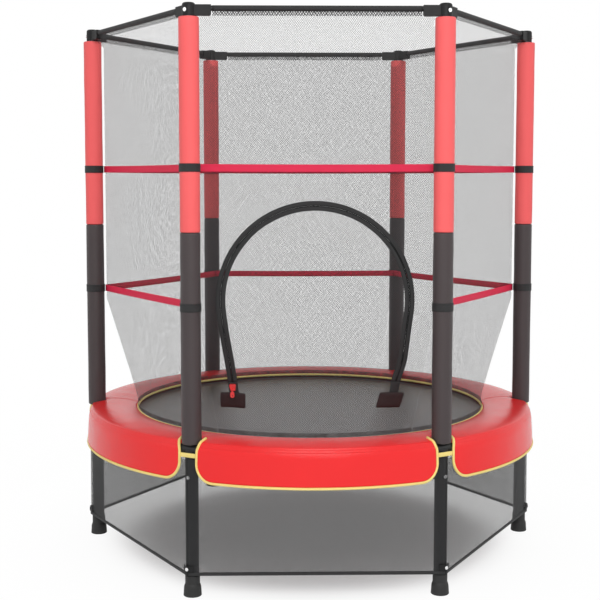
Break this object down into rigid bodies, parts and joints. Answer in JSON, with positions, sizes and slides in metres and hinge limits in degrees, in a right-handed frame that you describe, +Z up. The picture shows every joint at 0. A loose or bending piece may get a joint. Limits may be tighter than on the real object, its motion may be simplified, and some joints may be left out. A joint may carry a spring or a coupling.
{
  "type": "trampoline",
  "caption": "Round children's trampoline on straight legs, with foam covered uprights, a safety net with a zip door, a padded ring and a lower skirt net.",
  "frame": {"origin": "on the floor under the middle of the mat", "axes": "+Z up, -Y out of the zip door, +X to the right of somebody who faces the door"},
  "size_m": [1.4104, 1.4026, 1.592],
  "materials": {
    "black_steel": "satin black powder coat",
    "cap_plastic": "fine grained moulding",
    "zinc_tube": "zinc plated",
    "dark_foam": "smooth charcoal foam cover",
    "red_foam": "smooth coral red foam cover",
    "foot_rubber": "matte",
    "mat_cloth": "tight woven, slightly shiny",
    "zinc_wire": "zinc plated wire",
    "elastic_cord": "woven elastic",
    "pad_vinyl": "glossy coated cover",
    "yellow_piping": "satin binding",
    "net_mesh": "fine open mesh",
    "black_webbing": "woven tape",
    "red_webbing": "woven tape",
    "red_plastic": "moulded",
    "skirt_mesh": "open mesh",
    "bracket_plastic": "moulded",
    "zinc_screw": "zinc plated"
  },
  "bodies": {
    "frame": {"leg_1": "black_steel", "leg_2": "black_steel", "leg_3": "black_steel", "leg_4": "black_steel", "leg_5": "black_steel", "leg_6": "black_steel", "rubber_feet": "foot_rubber", "frame_arc_1": "black_steel", "frame_arc_2": "black_steel", "frame_arc_3": "black_steel", "frame_arc_4": "black_steel", "frame_arc_5": "black_steel", "frame_arc_6": "black_steel", "pole_1": "zinc_tube", "pole_2": "zinc_tube", "pole_3": "zinc_tube", "pole_4": "zinc_tube", "pole_5": "zinc_tube", "pole_6": "zinc_tube", "foam_lower_1": "dark_foam", "foam_lower_2": "dark_foam", "foam_lower_3": "dark_foam", "foam_lower_4": "dark_foam", "foam_lower_5": "dark_foam", "foam_lower_6": "dark_foam", "foam_upper_1": "red_foam", "foam_upper_2": "red_foam", "foam_upper_3": "red_foam", "foam_upper_4": "red_foam", "foam_upper_5": "red_foam", "foam_upper_6": "red_foam", "corner_cap_1": "cap_plastic", "corner_cap_2": "cap_plastic", "corner_cap_3": "cap_plastic", "corner_cap_4": "cap_plastic", "corner_cap_5": "cap_plastic", "corner_cap_6": "cap_plastic", "top_rail_1": "black_steel", "top_rail_2": "black_steel", "top_rail_3": "black_steel", "top_rail_4": "black_steel", "top_rail_5": "black_steel", "top_rail_6": "black_steel", "elastic_loops": "elastic_cord", "safety_pad": "pad_vinyl", "pad_piping": "yellow_piping", "enclosure_net": "net_mesh", "net_door_side": "net_mesh", "zip_tape": "black_webbing", "net_straps": "red_webbing", "pole_bands": "black_webbing", "skirt_net": "skirt_mesh", "hem_brackets": "bracket_plastic", "screws": "zinc_screw"},
    "mat": {"jump_mat": "mat_cloth", "mat_rings": "zinc_wire"},
    "door": {"door_panel": "net_mesh", "door_zip_tape": "black_webbing"},
    "slider": {"zip_slider": "red_plastic"},
    "pull": {"zip_pull": "red_plastic"}
  },
  "joints": [
    {"name": "mat_bounce", "type": "slide", "parent": "frame", "child": "mat", "axis": [0, 0, -1], "range_m": [0, 0.12], "stiffness_N_per_m": 2500, "springref_m": -0.02, "deforming": ["elastic_loops"]},
    {"name": "door_fold", "type": "hinge", "parent": "frame", "child": "door", "pos_m": [0, -0.5498, 0.57685], "axis": [1, 0, 0], "range_deg": [0, 105]},
    {"name": "zip_slide", "type": "slide", "parent": "frame", "child": "slider", "axis": [-0.1125, -0.2599, 0.9591], "range_m": [0, 0.1]},
    {"name": "pull_swing", "type": "hinge", "parent": "slider", "child": "pull", "pos_m": [-0.22934, -0.52721, 0.55517], "axis": [-0.9648, 0.2631, 0], "range_deg": [0, 140]}
  ]
}
